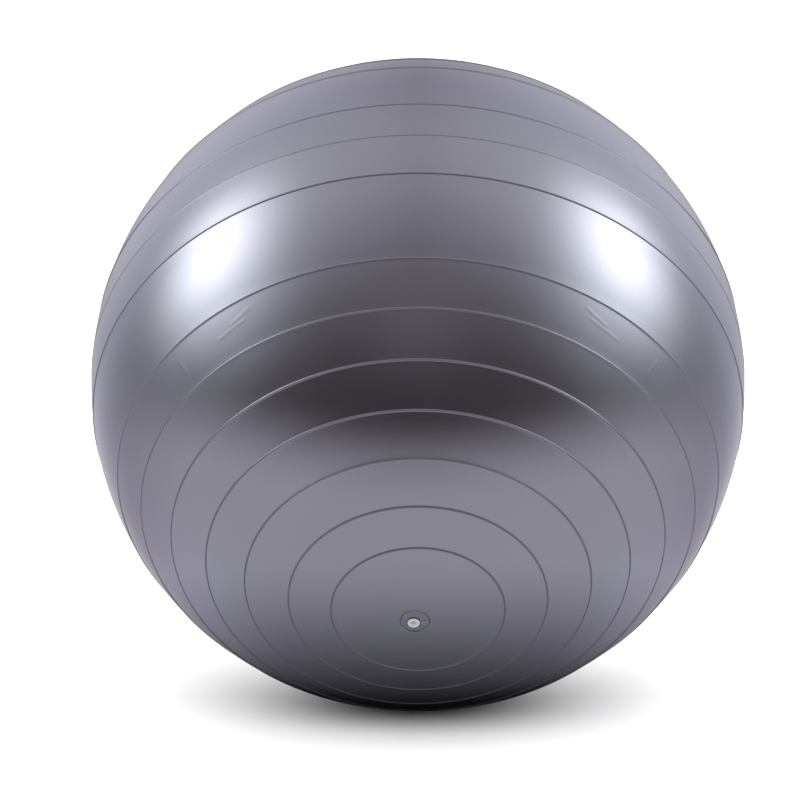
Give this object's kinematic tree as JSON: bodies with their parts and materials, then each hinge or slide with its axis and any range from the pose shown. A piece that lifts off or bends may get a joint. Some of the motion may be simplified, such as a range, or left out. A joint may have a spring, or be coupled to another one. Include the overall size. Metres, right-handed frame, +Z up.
{
  "type": "exercise ball",
  "caption": "Inflated exercise ball of satin silver-grey PVC with thin raised rings around the valve, a moulded valve patch and a pull-out valve plug, resting on a small flat.",
  "frame": {"origin": "middle of the small flat where the ball rests on the floor", "axes": "+Z up, -Y towards the side that the valve is on, +X to the right seen from that side"},
  "size_m": [0.6506, 0.65, 0.6482],
  "materials": {
    "silver_pvc_skin": "satin, metallic pearl",
    "silver_pvc_valve": "satin, metallic pearl",
    "white_plug": "smooth moulded"
  },
  "bodies": {
    "ball": {"ball_shell": "silver_pvc_skin", "valve_insert": "silver_pvc_valve"},
    "plug": {"valve_plug": "white_plug"}
  },
  "joints": [
    {"name": "plug_pull", "type": "slide", "parent": "ball", "child": "plug", "axis": [-0.0127, -0.8058, -0.592], "range_m": [0, 0.025]}
  ]
}
